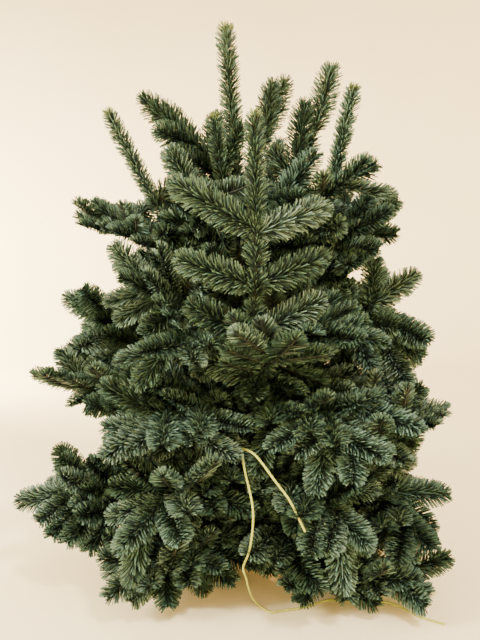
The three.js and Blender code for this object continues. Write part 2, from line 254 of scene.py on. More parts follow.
BROAD = {"tip": 118, "half": 22, "flat": 0.62, "angle": 46, "older": 1.25}
SLIM = {"tip": 175, "half": 15, "flat": 1, "angle": 60, "older": 0.66}
COLUMNS = ("name", "height", "bearing", "length", "rise", "bend", "roll", "bare", "pairs", "side", "kind")
ROWS = (
    # the upright spires
    ("front_spire", 205, -83, 622, 44, 62, 0, 110, 4, 152, SLIM),
    ("left_spire", 440, -176, 445, 51, 15, -40, 115, 2, 70, SLIM),
    ("right_spire", 545, 6, 397, 52, 26, 60, 90, 2, 80, BROAD),
    ("right_wand", 455, -17, 450, 39.5, 48, 60, 0, 3, 100, SLIM),
    ("middle_spire", 585, -134, 228, 66, 16, 0, 0, 0, 0, SLIM),
    # the crown, round the leader
    ("left_crown", 662, 177, 252, 58, -22, -50, 0, 2, 80, BROAD),
    ("right_crown", 664, 38, 258, 61, 6, 60, 0, 1, 85, BROAD),
    ("left_wing", 570, -158, 218, 50, 6, -30, 0, 2, 85, BROAD),
    ("right_wing", 600, -12, 200, 38, 14, 30, 0, 2, 95, BROAD),
    ("rear_left_crown", 560, 132, 262, 40, 22, -30, 0, 2, 100, BROAD),
    ("rear_right_crown", 575, 62, 290, 40, 25, 30, 0, 2, 100, BROAD),
    # the shoulders
    ("left_upper", 500, 172, 342, 37, -26, -12, 100, 3, 88, BROAD),
    ("right_upper", 520, -30, 306, 48, -18, 30, 0, 3, 105, BROAD),
    ("right_shoulder", 410, 12, 398, 54, -27, 45, 115, 3, 100, BROAD),
    ("left_shoulder", 430, -152, 248, 31, -14, -40, 0, 3, 100, BROAD),
    # the middle
    ("front_mid", 330, -74, 292, 24, 0, 0, 0, 2, 90, BROAD),
    ("left_mid", 350, 174, 362, 18, 10, -70, 120, 3, 118, BROAD),
    ("right_mid", 345, 0, 372, 25, 12, 88, 120, 3, 132, BROAD),
    ("left_long", 265, -173, 385, 11, 5, 35, 120, 3, 86, BROAD),
    ("right_long", 262, -8, 371, 3, 4, 18, 120, 3, 136, BROAD),
    ("front_left_upper", 395, -125, 260, 26, -40, -20, 0, 3, 100, BROAD),
    ("front_right_upper", 400, -48, 270, 26, -35, 20, 0, 3, 100, BROAD),
    ("front_left_mid", 300, -135, 300, 18, -50, -20, 0, 3, 110, BROAD),
    ("front_right_mid", 300, -42, 305, 16, -45, 20, 0, 3, 110, BROAD),
    # the skirt
    ("left_low", 150, -170, 400, 3, -10, -42, 130, 3, 112, BROAD),
    ("right_low", 125, -9, 375, 6, -6, 42, 130, 3, 148, BROAD),
    ("front_left_deep", 190, -126, 305, 14, -45, -10, 0, 3, 105, BROAD),
    ("front_right_deep", 190, -52, 310, 14, -45, 10, 0, 3, 105, BROAD),
    ("front_left_low", 95, -135, 296, 0, -20, -8, 80, 3, 92, BROAD),
    ("front_right_low", 90, -30, 352, -3, -14, 20, 100, 3, 92, BROAD),
    ("front_low", 130, -64, 268, -2, -20, 0, 0, 2, 95, BROAD),
    ("front_foot", 100, -102, 172, 2, 0, 0, 0, 1, 75, BROAD),
    # the back
    ("back_left_upper", 390, 124, 320, 28, 5, 0, 0, 3, 105, BROAD),
    ("back_right_upper", 385, 56, 320, 28, 5, 0, 0, 3, 105, BROAD),
    ("back_mid", 215, 85, 305, 12, -20, 0, 0, 3, 110, BROAD),
    ("back_left_mid", 250, 135, 330, 16, -20, 0, 0, 3, 110, BROAD),
    ("back_right_mid", 245, 40, 340, 14, -20, 0, 0, 3, 110, BROAD),
    ("back_low", 80, 92, 285, 2, 0, 0, 0, 3, 105, BROAD),
    ("back_left_low", 110, 138, 335, 0, -6, 0, 110, 3, 110, BROAD),
    ("back_right_low", 105, 42, 345, 0, -6, 0, 110, 3, 110, BROAD),
)
boughs = [dict(zip(COLUMNS, row)) for row in ROWS]
STRAIGHT = 1e-6  # radians to a millimetre: a bough that bends less is a straight line
LIMB = {"root_radius": 7.5, "tip_radius": 4.6, "sides": 14, "into_trunk": 0.8, "into_foliage": 6}
LIMB_BARK = {"depth": 0.4, "relief": 0.5, "collar": 1.6, "collar_reach": 8}


def point_on(bough, way):
    """The point on a bough's line that lies this way along it from the trunk's axis."""
    slope = math.radians(bough["rise"])
    turn = math.radians(bough["bend"]) / bough["length"]
    if abs(turn) < STRAIGHT:
        out, up = way * math.cos(slope), way * math.sin(slope)
    else:
        out = (math.sin(slope + turn * way) - math.sin(slope)) / turn
        up = (math.cos(slope) - math.cos(slope + turn * way)) / turn
    bearing = math.radians(bough["bearing"])
    return trunk_axis(bough["height"]) + [out * math.cos(bearing), out * math.sin(bearing), up]


def axes_on(bough, way):
    """Along the bough, across its fan, and out of the fan's upper side."""
    slope = math.radians(bough["rise"] + bough["bend"] * way / bough["length"])
    bearing, roll = math.radians(bough["bearing"]), math.radians(bough["roll"])
    level = math.cos(slope)
    along = np.array([math.cos(bearing) * level, math.sin(bearing) * level, math.sin(slope)])
    sideways = np.array([-math.sin(bearing), math.cos(bearing), 0])
    across = sideways * math.cos(roll) + np.cross(along, sideways) * math.sin(roll)
    return along, across, np.cross(along, across)


def tube_along(bough, ways, radii, sides):
    """A tube round the line of a bough, with a ring at each way along it."""
    axes = np.array([axes_on(bough, way) for way in ways])
    return tube(np.array([point_on(bough, way) for way in ways]), axes[:, 1], axes[:, 2], radii, sides)


def joined(parts):
    """Several meshes, each given as points and faces, as one."""
    firsts = np.cumsum([0] + [len(points) for points, _ in parts[:-1]])
    points = np.vstack([points for points, _ in parts])
    return points, np.vstack([faces + first for (_, faces), first in zip(parts, firsts)])


limbs, limb_nodes = [], []
for index, bough in enumerate(boughs):
    if not bough["bare"]:
        continue
    start = trunk_radius(bough["height"]) * LIMB["into_trunk"]
    ways = np.linspace(start, bough["bare"] + LIMB["into_foliage"], int(bough["bare"] / BARK_STEP))
    taper = LIMB["root_radius"] + (LIMB["tip_radius"] - LIMB["root_radius"]) * ways / bough["bare"]
    collar = LIMB_BARK["collar"] * np.exp(-(ways - ways[0]) / LIMB_BARK["collar_reach"])
    turns = np.arange(LIMB["sides"]) * 2 * math.pi / LIMB["sides"]
    relief = LIMB_BARK["relief"] * bark_relief(turns[None, :], ways[:, None], index)
    radii = (taper - LIMB_BARK["depth"] + collar)[:, None] + relief
    limbs.append(tube_along(bough, ways, radii, LIMB["sides"]))
    limb_nodes.append(f"{bough['name']}_bough")
boughs_piece = new_piece("boughs_bark", *joined(limbs), [BARK], smooth=True)
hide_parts(*limb_nodes)


# ---------------------------------------------------------------- where the shoots grow
# Each bough ends in one shoot, with pairs of side shoots behind it, as a fir grows them year by year.
# The rule and its seeds are those of the tree's solids. Each shoot is also a row of balls, and one is
# grown only where its balls are clear of every other bough's.

FORK = {"angle_spread": 14, "tilt": -4, "tilt_spread": 26, "jitter": 10, "first": 20, "first_at_trunk": 55}
FORK_LENGTH = {"most_of_bough": 0.6, "shortest": 0.92, "spread": 0.16}
STEM = {"root_radius": 4.2, "sunk": 0.8}
LEADER = {"lean": -21, "length": 281, "half": 18}
GAP = 0.3  # between the trunk's top and the leader
CLEAR = 0.8  # air round each shoot
FLOOR = 5  # no shoot hangs lower
SAMPLE = 12  # spacing of the balls
BALLS = {"from": 0.12, "corner": 0.87}
SHORTER = (1, 0.82, 0.66)
SLIMMER = (1, 0.82, 0.66, 0.5)


def seeded(seed):
    """A small seeded generator, so that the tree always grows the same way."""
    state = seed

    def draw():
        nonlocal state
        state = (state + 0x6D2B79F5) & 0xFFFFFFFF
        t = state
        t = ((t ^ (t >> 15)) * (t | 1)) & 0xFFFFFFFF
        t ^= (t + ((t ^ (t >> 7)) * (t | 61) & 0xFFFFFFFF)) & 0xFFFFFFFF
        return ((t ^ (t >> 14)) & 0xFFFFFFFF) / 4294967296

    return draw


def shoots_of(bough, index):
    """The shoot at the end of a bough, and then its pairs of side shoots from the end inwards."""
    random = seeded(1000 + 77 * index)
    kind = bough["kind"]
    tip = min(kind["tip"], FORK_LENGTH["most_of_bough"] * (bough["length"] - bough["bare"]))
    last = bough["length"] - tip
    along, _, over = axes_on(bough, bough["length"] - tip / 2)
    end_shoot = {"base": point_on(bough, last), "along": along, "over": over, "length": tip}
    shoots = [{**end_shoot, "half": kind["half"], "kind": kind}]
    first = bough["bare"] + FORK["first"] if bough["bare"] else FORK["first_at_trunk"]
    for pair in range(bough["pairs"]):
        place = last - (last - first) * pair / bough["pairs"]
        grown = 1 + (kind["older"] - 1) * pair / max(1, bough["pairs"] - 1)
        for hand in (1, -1):
            angle = math.radians(kind["angle"] + FORK["angle_spread"] * random())
            tilt = math.radians(FORK["tilt"] + FORK["tilt_spread"] * random())
            way = place - FORK["jitter"] * random()
            length = bough["side"] * grown * (FORK_LENGTH["shortest"] + FORK_LENGTH["spread"] * random())
            along, across, over = axes_on(bough, way)
            out = across * hand * math.cos(tilt) + over * math.sin(tilt)
            heading = along * math.cos(angle) + out * math.sin(angle)
            upper = np.cross(heading, unit(np.cross(over, heading)))
            side_shoot = {"base": point_on(bough, way), "along": heading, "over": upper, "length": length}
            shoots.append({**side_shoot, "half": BROAD["half"], "kind": BROAD})
    return shoots


SPRAY = {"foot": 0.55, "gain": 0.45, "widest_at": 0.3, "tip": 0.92, "roundness": 6}


def breadth(share):
    """How wide a shoot is at a share of its length: it widens from its foot and has a rounded tip."""
    swelling = SPRAY["foot"] + SPRAY["gain"] * np.minimum(1, share / SPRAY["widest_at"])
    return swelling * np.sqrt(np.maximum(0, 1 - (SPRAY["tip"] * share) ** SPRAY["roundness"]))


balls = {"at": np.zeros((0, 3)), "radius": np.zeros(0), "owner": np.zeros(0, int)}


def add_balls(owner, at, radius):
    """Takes up room for the bough of this number. radius is one for all the balls, or one for each."""
    balls["at"] = np.vstack([balls["at"], at])
    balls["radius"] = np.append(balls["radius"], np.broadcast_to(radius, len(at)))
    balls["owner"] = np.append(balls["owner"], np.full(len(at), owner))


def line_ways(start, end):
    """Ways along a line at which its balls stand."""
    return np.linspace(start, end, max(1, math.ceil((end - start) / SAMPLE)) + 1)


def shoot_balls(shoot):
    ways = line_ways(BALLS["from"] * shoot["length"], shoot["length"])
    corner = math.hypot(BALLS["corner"], shoot["kind"]["flat"] / 2)
    radii = corner * shoot["half"] * breadth(ways / shoot["length"]) + CLEAR
    return shoot["base"] + ways[:, None] * shoot["along"], radii


def is_free(owner, at, radius):
    others = balls["owner"] != owner
    gaps = np.linalg.norm(at[:, None] - balls["at"][None, others], axis=2)
    touches = gaps <= radius[:, None] + balls["radius"][None, others]
    return not touches.any() and (at[:, 2] - radius > FLOOR).all()


def fitted(owner, shoot, sizes):
    """The shoot in the first of the sizes that finds room, or None."""
    for wide, long in sizes:
        tried = {**shoot, "half": shoot["half"] * wide, "length": shoot["length"] * long}
        at, radius = shoot_balls(tried)
        if is_free(owner, at, radius):
            add_balls(owner, at, radius)
            return tried
    return None


def leader_point(share):
    top = trunk_axis(TRUNK["top"])
    return top + [LEADER["lean"] * share, 0, GAP + STEM["sunk"] + LEADER["length"] * share]


OF_TRUNK, OF_LEADER = -1, -2  # they own balls too, beside the boughs
heights = line_ways(TRUNK["foot"], TRUNK["top"])
add_balls(OF_TRUNK, [trunk_axis(h) for h in heights], [trunk_radius(h) for h in heights])
ways = line_ways(0, LEADER["length"])
add_balls(OF_LEADER, [leader_point(way / LEADER["length"]) for way in ways], LEADER["half"])
for index, bough in enumerate(boughs):
    limb_ways = line_ways(0, bough["bare"])
    add_balls(index, [point_on(bough, way) for way in limb_ways], LIMB["root_radius"])
    stem_ways = line_ways(bough["bare"] or 2 * trunk_radius(bough["height"]), bough["length"])
    add_balls(index, [point_on(bough, way) for way in stem_ways], STEM["root_radius"])

tips = []
for index, bough in enumerate(boughs):
    shoot = shoots_of(bough, index)[0]
    kept = fitted(index, shoot, [(wide, 1) for wide in SLIMMER])
    tips.append(kept or {**shoot, "half": shoot["half"] * SLIMMER[-1]})
side_sizes = [(0.5 + 0.5 * long, long) for long in SHORTER]  # they get shorter faster than slimmer
sides = []
for index, bough in enumerate(boughs):
    tried = [fitted(index, shoot, side_sizes) for shoot in shoots_of(bough, index)[1:]]
    sides.append([shoot for shoot in tried if shoot])

# Where the sky shows between the shoots at the edge of the crown: middle and radius of each gap.
OPEN_SKY = [
    ((-80, 30, 845), 25),
    ((10, 35, 860), 25),
    ((90, 30, 850), 25),
    ((195, -25, 815), 20),
    ((-190, 20, 675), 50),
    ((-180, -70, 665), 40),
    ((-230, 20, 520), 46),
    ((-270, 20, 260), 50),
    ((-295, 0, 235), 48),
    ((-285, -120, 330), 20),
    ((-365, -105, 110), 20),
    ((-255, -170, 80), 20),
    ((295, -40, 560), 26),
    ((260, 0, 510), 55),
    ((250, -95, 505), 32),
    ((315, -120, 275), 20),
    ((345, -20, 170), 36),
]


def in_open_sky(point):
    return any(np.linalg.norm(point - np.array(middle)) < radius for middle, radius in OPEN_SKY)


def end_of(shoot):
    return shoot["base"] + shoot["along"] * shoot["length"]


sides = [[shoot for shoot in row if not in_open_sky(end_of(shoot))] for row in sides]

SPIRES_AND_CROWN = 11  # rows at the top of the table: their needles stand all round the shoots
CROWN_HALF = 22.5  # the broad shoots of the crown are this plump
shoots = []  # every shoot of the tree that bears needles
for index, bough in enumerate(boughs):
    for shoot in [tips[index], *sides[index]]:
        plump = index < SPIRES_AND_CROWN and shoot["kind"] is BROAD
        half = max(shoot["half"], CROWN_HALF) if plump else shoot["half"]
        shoots.append({**shoot, "half": half, "owner": index, "brush": index < SPIRES_AND_CROWN})

# Single shoots beside the regular pairs, which fill the edge of the crown and the thin places round
# the trunk. Bough, way along its stem, end, half width, and whether its needles stand all round it.
SINGLE_SHOOTS = [
    ("right_spire", 190, (115, 15, 840), 23, True),
    ("right_wand", 270, (230, -55, 720), 20, True),
    ("left_crown", 60, (-120, -30, 745), 21, True),
    ("left_crown", 105, (-140, 20, 835), 22, True),
    ("right_crown", 120, (60, 45, 885), 20, True),
    ("left_wing", 140, (-130, 5, 750), 20, True),
    ("middle_spire", 130, (5, -20, 795), 16, True),
    ("right_mid", 60, (180, 40, 350), 21, False),
    ("left_upper", 60, (-190, 30, 570), 21, False),
    ("right_shoulder", 310, (285, 0, 670), 20, False),
    ("left_shoulder", 190, (-210, -80, 585), 20, False),
    ("left_shoulder", 170, (-210, -50, 555), 20, False),
    ("left_mid", 250, (-305, 70, 430), 18, False),
    ("left_long", 280, (-325, -20, 400), 20, False),
    ("left_long", 260, (-325, 10, 350), 20, False),
    ("left_long", 200, (-265, -90, 315), 20, False),
    ("left_long", 160, (-230, -70, 275), 18, False),
    ("right_mid", 250, (320, -50, 390), 20, False),
    ("right_long", 250, (320, -60, 345), 20, False),
    ("right_low", 270, (340, -85, 90), 20, False),
    ("front_right_low", 290, (340, -150, 85), 20, False),
    ("front_right_low", 270, (285, -210, 35), 20, False),
    ("front_left_low", 180, (-170, -200, 35), 20, False),
]
TOWARDS_FRONT = [0, -1.0, 0]
bough_names = [bough["name"] for bough in boughs]
for name, way, end, half, brush in SINGLE_SHOOTS:
    owner = bough_names.index(name)
    base = point_on(boughs[owner], way)
    length = np.linalg.norm(np.array(end) - base)
    along = (np.array(end) - base) / length
    over = np.cross(along, unit(np.cross(TOWARDS_FRONT, along)))
    shoot = {"base": base, "along": along, "over": over, "length": length}
    shoots.append({**shoot, "half": half, "kind": BROAD, "owner": owner, "brush": brush})


# ---------------------------------------------------------------- finer shoots
# Between the main shoots, younger and shorter ones fork from the stems and from the main shoots
# themselves. They stay inside the reach of the main ones, and leave the crown's gaps open.

FINE = {"spacing": 21, "angle": 42, "spread": 22, "flat": 0.6, "half": 20, "lowest": 12, "highest": 690}
FINE_LENGTHS = ((88, 112), (76, 98), (64, 84), (56, 70))  # shortest and longest in each round
ON_STEM = {"from": 40, "spacing": 6}
ON_SHOOT = {"from": 0.12, "range": 0.5, "tries": 6}
ON_TRUNK = {"from": 110, "range": 530, "tries": 500, "spread": 20}
ON_TRUNK_LENGTHS = (185, 165, 150, 130, 110, 90)
OPEN_ROWS = 7  # the spires and the two boughs beside the leader carry no finer shoots
REACH = {"height": 28, "bearing": 22, "spare": 16, "inner_height": 50, "inner": 0.72}

main_at = np.vstack([shoot_balls(s)[0] for s in shoots])
main_out = np.hypot(main_at[:, 0], main_at[:, 1])
main_bearing = np.degrees(np.arctan2(main_at[:, 1], main_at[:, 0]))


def within_reach(point):
    """True where some main shoot of this height and bearing reaches at least as far out."""
    bearing = math.degrees(math.atan2(point[1], point[0]))
    near = np.abs((main_bearing - bearing + 180) % 360 - 180) < REACH["bearing"]
    level = near & (np.abs(main_at[:, 2] - point[2]) < REACH["height"])
    around = near & (np.abs(main_at[:, 2] - point[2]) < REACH["inner_height"])
    out = math.hypot(point[0], point[1])
    edge = main_out[level].max() - REACH["spare"] if level.any() else 0
    inner_edge = main_out[around].max() * REACH["inner"] if around.any() else 0
    return out < max(edge, inner_edge)


MAIN_SHARES = np.linspace(0.1, 1, 9)[:, None]  # of a main shoot's length, where its place is taken
FINE_SHARES = np.linspace(0.45, 1, 5)[:, None]  # the same for a finer one, whose foot is by its parent
main_lines = [shoot["base"] + MAIN_SHARES * shoot["along"] * shoot["length"] for shoot in shoots]
leader_line = [leader_point(share) for share in np.linspace(0, 1, 20)]
trunk_line = [trunk_axis(height) for height in range(30, TRUNK["top"], SAMPLE)]
taken = np.vstack([*main_lines, leader_line, trunk_line])


def try_shoot(owner, base, along, over, random, sizes):
    """Grows one finer shoot to either side of its parent if it keeps clear of the shoots there are."""
    global taken
    across = np.cross(over, along)
    around = 2 * math.pi * random()
    out = unit(across * math.cos(around) + over * math.sin(around) * FINE["flat"])
    angle = math.radians(FINE["angle"] + FINE["spread"] * random())
    heading = along * math.cos(angle) + out * math.sin(angle)
    length = sizes[0] + (sizes[1] - sizes[0]) * random()
    samples = base + FINE_SHARES * heading * length
    if samples[:, 2].min() < FLOOR + FINE["lowest"] or samples[:, 2].max() > FINE["highest"]:
        return
    if in_open_sky(samples[-1]) or not within_reach(samples[-1]):
        return
    if np.linalg.norm(samples[:, None] - taken[None], axis=2).min() < FINE["spacing"]:
        return
    taken = np.vstack([taken, samples])
    upper = np.cross(heading, unit(np.cross(over, heading)))
    shoot = {"base": base, "along": heading, "over": upper, "length": length}
    shoots.append({**shoot, "half": FINE["half"], "kind": BROAD, "owner": owner, "brush": False})


for turn, sizes in enumerate(FINE_LENGTHS):
    for index, bough in enumerate(boughs):
        if index < OPEN_ROWS:
            continue
        random = seeded(9000 + 131 * index + turn)
        start = max(bough["bare"], ON_STEM["from"])
        stem_length = bough["length"] - tips[index]["length"] - start
        for _ in range(int(stem_length / ON_STEM["spacing"])):
            way = start + stem_length * random()
            along, across, over = axes_on(bough, way)
            try_shoot(index, point_on(bough, way), along, over, random, sizes)
        for parent in [tips[index], *sides[index]]:
            for _ in range(ON_SHOOT["tries"]):
                share = ON_SHOOT["from"] + ON_SHOOT["range"] * random()
                base = parent["base"] + parent["along"] * parent["length"] * share
                try_shoot(index, base, parent["along"], parent["over"], random, sizes)

# The last ones leave the trunk itself, and count with the bough whose foot is nearest in height.
UPWARD = np.array([0, 0, 1.0])
for turn, length in enumerate(ON_TRUNK_LENGTHS):
    random = seeded(500 + turn)
    for _ in range(ON_TRUNK["tries"]):
        base = trunk_axis(ON_TRUNK["from"] + ON_TRUNK["range"] * random())
        bearing = 2 * math.pi * random()
        level = np.array([math.cos(bearing), math.sin(bearing), 0])
        nearest = min(boughs, key=lambda bough: abs(bough["height"] - base[2]))
        sizes = (length - ON_TRUNK["spread"], length)
        try_shoot(boughs.index(nearest), base, UPWARD, level, random, sizes)


# ---------------------------------------------------------------- twigs
# The thin woody stem of each bough, the shoots on it and the leader, tapering to their buds. Their
# bark is painted a near-black green-brown, a painted shade, and hardly shows, as the feet of the
# needles cover it.

def twig_bark_in_painted_shade():
    """Young fir twigs: faintly downy and matt, painted a near-black green-brown as painted shade, so they
    stay quiet in the depth.
    """
    bark = new_material("twig_bark_in_painted_shade")
    place = add_node(bark, "ShaderNodeTexCoord").outputs["Object"]
    patch_size = 9 * MM
    patches = add_node(
        bark,
        "ShaderNodeTexNoise",
        inputs={"Vector": place, "Scale": 1 / patch_size, "Detail": 3.0},
    )
    colour = colour_steps(bark, patches.outputs["Fac"], [(0.3, "#141b12"), (0.7, "#1d2617")])
    return finish_material(bark, {"Base Color": colour, "Roughness": 0.8})


TWIG = {"sides": 5, "rings": 4, "end": 0.97, "base_radius": 2.4, "tip_radius": 1.8, "curl": 0.07}
STEM_TUBE = {"sides": 8, "ring_spacing": 12, "into_shoot": 4}
LEADER_TUBE = {"rings": 24, "end": 0.98, "tip_radius": 1.5}


def shoot_line(shoot, share):
    """Points on a shoot, which curls up a little towards its tip, and the shoot's direction there."""
    share = np.asarray(share, float)[:, None]
    curl = shoot["over"] * (0 if shoot["kind"] is SLIM else TWIG["curl"]) * shoot["length"]
    at = shoot["base"] + shoot["along"] * shoot["length"] * share + curl * (share**2 - 0.5 * share)
    heading = unit(shoot["along"] * shoot["length"] + curl * (2 * share - 0.5))
    return at, heading


def cross_axes(shoot, heading):
    """Across the shoot, and out of its upper side, at each of the headings."""
    across = unit(np.cross(np.tile(shoot["over"], (len(heading), 1)), heading))
    return across, np.cross(heading, across)


twigs = []
twig_radii = np.linspace(TWIG["base_radius"], TWIG["tip_radius"], TWIG["rings"])
for shoot in shoots:
    at, heading = shoot_line(shoot, np.linspace(0, TWIG["end"], TWIG["rings"]))
    twigs.append(tube(at, *cross_axes(shoot, heading), twig_radii, TWIG["sides"]))
for index, bough in enumerate(boughs):
    start = bough["bare"] or trunk_radius(bough["height"]) * LIMB["into_trunk"]
    end = bough["length"] - tips[index]["length"] + STEM_TUBE["into_shoot"]
    ways = np.linspace(start, end, max(TWIG["rings"], int((end - start) / STEM_TUBE["ring_spacing"])))
    radii = np.linspace(STEM["root_radius"], TWIG["base_radius"], len(ways))
    twigs.append(tube_along(bough, ways, radii, STEM_TUBE["sides"]))
rings = np.array([leader_point(s) for s in np.linspace(0, LEADER_TUBE["end"], LEADER_TUBE["rings"])])
radii = np.linspace(STEM["root_radius"], LEADER_TUBE["tip_radius"], len(rings))
twigs.append(tube(rings, *level_axes(len(rings)), radii, STEM_TUBE["sides"]))
twigs_piece = new_piece("twigs", *joined(twigs), [twig_bark_in_painted_shade()], smooth=True)


# ---------------------------------------------------------------- needles
# Noble fir needles are 15 to 25 mm long, blunt and waxy. On a side shoot they sweep out to the sides
# and forward over the stem. On an upright shoot they stand all round it. They are drawn a little wider
# than real ones and gathered in rings, so that such fine strokes show. Their feet are darkened with
# painted shade near the stem, their tips made paler with painted light, and the leading needles of
# each ring painted paler still, as a painted highlight.

def waxy_needles(name, shade, light):
    """Living needles: a waxy, slightly glossy skin, darkened at the foot with painted shade and paler at the
    tip with painted light, in patches of bloom.
    """
    needles = new_material(name)
    place = add_node(needles, "ShaderNodeTexCoord").outputs["Object"]
    painted_light_and_tone = add_node(needles, "ShaderNodeAttribute", {"attribute_name": "painted_light_and_tone"}).outputs["Fac"]
    patch_size, bloom_share, foot_share = 16 * MM, 0.3, 0.5
    bloom = add_node(
        needles,
        "ShaderNodeTexNoise",
        inputs={"Vector": place, "Scale": 1 / patch_size, "Detail": 4.0},
    )
    tint = add_node(
        needles,
        "ShaderNodeMath",
        {"operation": "MULTIPLY_ADD"},
        {0: bloom.outputs["Fac"], 1: bloom_share, 2: painted_light_and_tone},
    )
    # the foot colour is the shade at half brightness: painted shade near the stem
    shaded_foot = "#" + "".join(f"{int(int(shade[i : i + 2], 16) * foot_share):02x}" for i in (1, 3, 5))
    colour = colour_steps(needles, tint.outputs["Value"], [(0.3, shaded_foot), (0.75, shade), (1.0, light)])
    wax = {"Roughness": 0.5, "Specular IOR Level": 0.4, "IOR": 1.45}
    return finish_material(needles, {"Base Color": colour, **wax})


SHADES = [
    waxy_needles("needles_glaucous", "#425b4d", "#6f887a"),
    waxy_needles("needles_blue_green", "#3a5446", "#627f72"),
    waxy_needles("needles_mid_green", "#384f40", "#5b7664"),
    waxy_needles("needles_deep_green", "#2e4537", "#4b6553"),
    waxy_needles("needles_fresh_tips", "#586a3b", "#859462"),
]
MID, DEEP, FRESH = 2, 3, 4  # places in SHADES; each shoot takes one of the first four
NEEDLE = {"width": 2.1, "blunt": 0.8, "per_mm": 4.7, "length": 1.3, "bare_tip": 6, "foot_out": 1.5}
GOLDEN_TURN = math.radians(137.508)  # from one needle to the next, as they spiral up the shoot
TURN_SPREAD = 0.12
# the leading needles of each ring are painted paler by painted_highlight, a painted highlight
RINGS = {"spacing": 5.6, "gathered": 0.85, "gathered_upright": 0.4, "painted_highlight": 0.4}
FROM_BELOW = {"out": 0.8, "down": 0.4}
LEAN_AT = (0, 0.4, 1.2, 3)  # from the tip, in half widths of the shoot
LEAN = {"slim": (36, 50, 56, 60), "broad": (34, 50, 60, 66), "above": (1.08, 0.7), "spread": 2.5}
LENGTH_ALONG = ((0, 0.2, 0.4), (0.7, 1, 1))  # shares of the shoot's length, and of the needles'
LENGTH_AT_TIP = ((0, 0.5, 1.5), (0.5, 0.78, 1))  # half widths from the tip, and shares of the needles'
SHORT_ONES = {"share": 0.35, "shorter": (0.5, 0.85), "others": (0.92, 1.03)}
SWEEP = {"forward": 0.1, "up": 0.2}
FACING = {"forward": 0.3, "any_way": 0.6}
FOOT_SHADE_TIP_LIGHT = (-0.36, -0.36, 1.0, 1.0)  # painted shade at a needle's two points at its foot, and painted light at its two at its tip
TONE_SPREAD = 0.2
FRESH_FROM = 0.94  # share of an upright shoot's length, where its fresh tip starts


def grow_needles(shoot, shade, draws, per_mm):
    """Needles on one shoot, as points and two triangles each, the shade of every triangle, and the
    painted light and shade of every point."""
    count = int(shoot["length"] * per_mm)
    slim, brush = shoot["kind"] is SLIM, shoot["brush"]

    # feet on a spiral, drawn together in rings
    share = (np.arange(count) + 0.5) / count
    phase = 2 * math.pi * share * shoot["length"] / RINGS["spacing"]
    gather = RINGS["gathered"] * (RINGS["gathered_upright"] if brush else 1)
    shift = gather * RINGS["spacing"] / shoot["length"] * np.sin(phase) / (2 * math.pi)
    share = np.clip(share - shift, 0, 1)
    at, heading = shoot_line(shoot, share * (1 - NEEDLE["bare_tip"] / shoot["length"]))
    across, over = cross_axes(shoot, heading)
    around = np.arange(count) * GOLDEN_TURN + draws.uniform(-TURN_SPREAD, TURN_SPREAD, count)
    c, s = np.cos(around)[:, None], np.sin(around)[:, None]
    if not brush:
        # those from the under side sweep out to the sides
        outward = np.sign(c) * (np.abs(c) + FROM_BELOW["out"] * np.abs(s))
        c, s = np.where(s < 0, outward, c), np.where(s < 0, FROM_BELOW["down"] * s, s)
    radial = unit(across * c + over * s)
    foot = at + radial * NEEDLE["foot_out"]

    # they lean forward, most of all near the tip
    from_tip = (1 - share) * shoot["length"] / shoot["half"]
    lean = np.interp(from_tip, LEAN_AT, LEAN["slim"] if slim else LEAN["broad"])
    if not brush:
        # those on the upper side lie forward over the stem
        lean = lean * np.interp(s[:, 0], [0, 1], LEAN["above"])
    lean = np.radians(lean + draws.normal(0, LEAN["spread"], count))[:, None]
    out = heading * np.cos(lean) + radial * np.sin(lean)
    out = unit(out + heading * SWEEP["forward"] + over * (0 if brush else SWEEP["up"]))

    # shorter at the shoot's foot and tip, and some of them shorter anywhere
    length = shoot["half"] * NEEDLE["length"] * np.interp(share, *LENGTH_ALONG)
    length = length * np.interp(from_tip, *LENGTH_AT_TIP)
    is_short = draws.random(count) < SHORT_ONES["share"]
    shorter = draws.uniform(*SHORT_ONES["shorter"], count)
    others = draws.uniform(*SHORT_ONES["others"], count)
    end = foot + out * (length * np.where(is_short, shorter, others))[:, None]

    # flat blades, turned up more or less
    upper = 0 if brush else over + FACING["forward"] * heading
    facing = upper + FACING["any_way"] * draws.normal(0, 1, (count, 3))
    aside = unit(np.cross(out, facing)) * (NEEDLE["width"] / 2)
    blunt = aside * NEEDLE["blunt"]
    points = np.stack([foot - aside, foot + aside, end - blunt, end + blunt], 1)
    first = np.arange(count)[:, None] * 4
    faces = np.concatenate([first + [0, 1, 3], first + [0, 3, 2]])
    shades = np.where(share > FRESH_FROM, FRESH, shade) if slim else np.full(count, shade)
    # the leading needles of each ring get a painted highlight, and every needle's tone also differs at
    # random
    tone = RINGS["painted_highlight"] * np.cos(phase) + draws.normal(0, TONE_SPREAD, count)
    tones = tone[:, None] + FOOT_SHADE_TIP_LIGHT
    return points.reshape(-1, 3), faces, np.tile(shades, 2), tones.ravel()


REGIONS = {
    "crown": ["front_spire", "left_spire", "right_spire", "right_wand", "middle_spire", "left_crown",
              "right_crown", "left_wing", "right_wing"],
    "shoulders": ["left_upper", "right_upper", "right_shoulder", "left_shoulder"],
    "rear": ["rear_left_crown", "rear_right_crown", "back_left_upper", "back_right_upper"],
    "left": ["left_mid", "left_long", "left_low"],
    "front": ["front_mid", "front_left_upper", "front_right_upper"],
    "front_deep": ["front_left_mid", "front_right_mid", "front_left_deep", "front_right_deep"],
    "right": ["right_mid", "right_long", "right_low"],
    "skirt": ["front_left_low", "front_right_low", "front_low", "front_foot", "back_low", "back_left_low",
              "back_right_low"],
    "back": ["back_mid", "back_left_mid", "back_right_mid"],
}
INNER_SHADE = {"radius": 220, "crown": 0.8}  # painted shade: shoots near the trunk, and all those of the crown, take the darker greens more often
OUTER_CHANCES = np.array([0.36, 0.34, 0.22, 0.08])  # of glaucous, blue-green, mid and deep green
